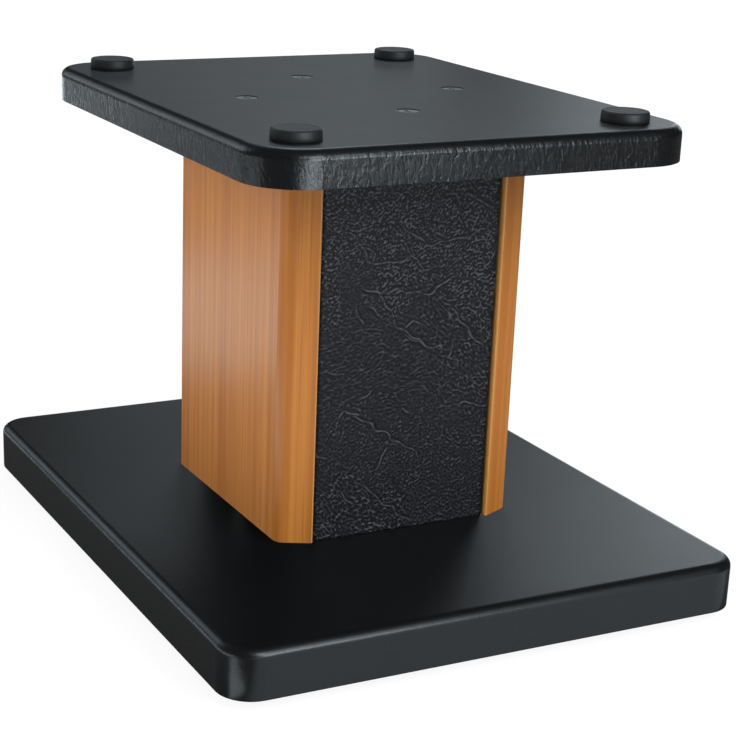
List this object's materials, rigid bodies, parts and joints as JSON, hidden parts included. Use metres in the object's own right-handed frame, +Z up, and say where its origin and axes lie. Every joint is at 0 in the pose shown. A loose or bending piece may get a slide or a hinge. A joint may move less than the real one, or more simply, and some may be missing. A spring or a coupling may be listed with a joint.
{
  "type": "speaker stand",
  "caption": "Low desktop stand for a loudspeaker: black base and top plates on a hollow column of wood-faced side boards and black grained vinyl panels, with rubber pads.",
  "frame": {"origin": "on the floor under the middle of the stand, in the plane of the feet's undersides", "axes": "+Z up, -Y towards the front, where a vinyl panel shows between the cheeks, +X to the right seen from the front"},
  "size_m": [0.245, 0.305, 0.2165],
  "materials": {
    "black_board": "black foil on board, satin, lightly grained along the edges",
    "cherry_foil": "cherry wood foil, straight upright grain, satin",
    "grained_vinyl": "black vinyl with an embossed, creased leather grain",
    "raw_board": "bare fibreboard, hidden",
    "block_wood": "planed softwood, hidden",
    "black_screw": "black-coated steel",
    "pad_rubber": "matt moulded rubber",
    "foot_rubber": "matt moulded rubber"
  },
  "bodies": {
    "root": {"back_board": "raw_board", "back_skin": "grained_vinyl", "base_plate": "black_board", "base_screws": "black_screw", "foot_back_left": "foot_rubber", "foot_back_right": "foot_rubber", "foot_front_left": "foot_rubber", "foot_front_right": "foot_rubber", "front_board": "raw_board", "front_skin": "grained_vinyl", "glue_block_back_left": "block_wood", "glue_block_back_right": "block_wood", "glue_block_front_left": "block_wood", "glue_block_front_right": "block_wood", "left_cheek": "cherry_foil", "pad_back_left": "pad_rubber", "pad_back_right": "pad_rubber", "pad_front_left": "pad_rubber", "pad_front_right": "pad_rubber", "right_cheek": "cherry_foil", "top_plate": "black_board", "top_screws": "black_screw"}
  },
  "joints": []
}
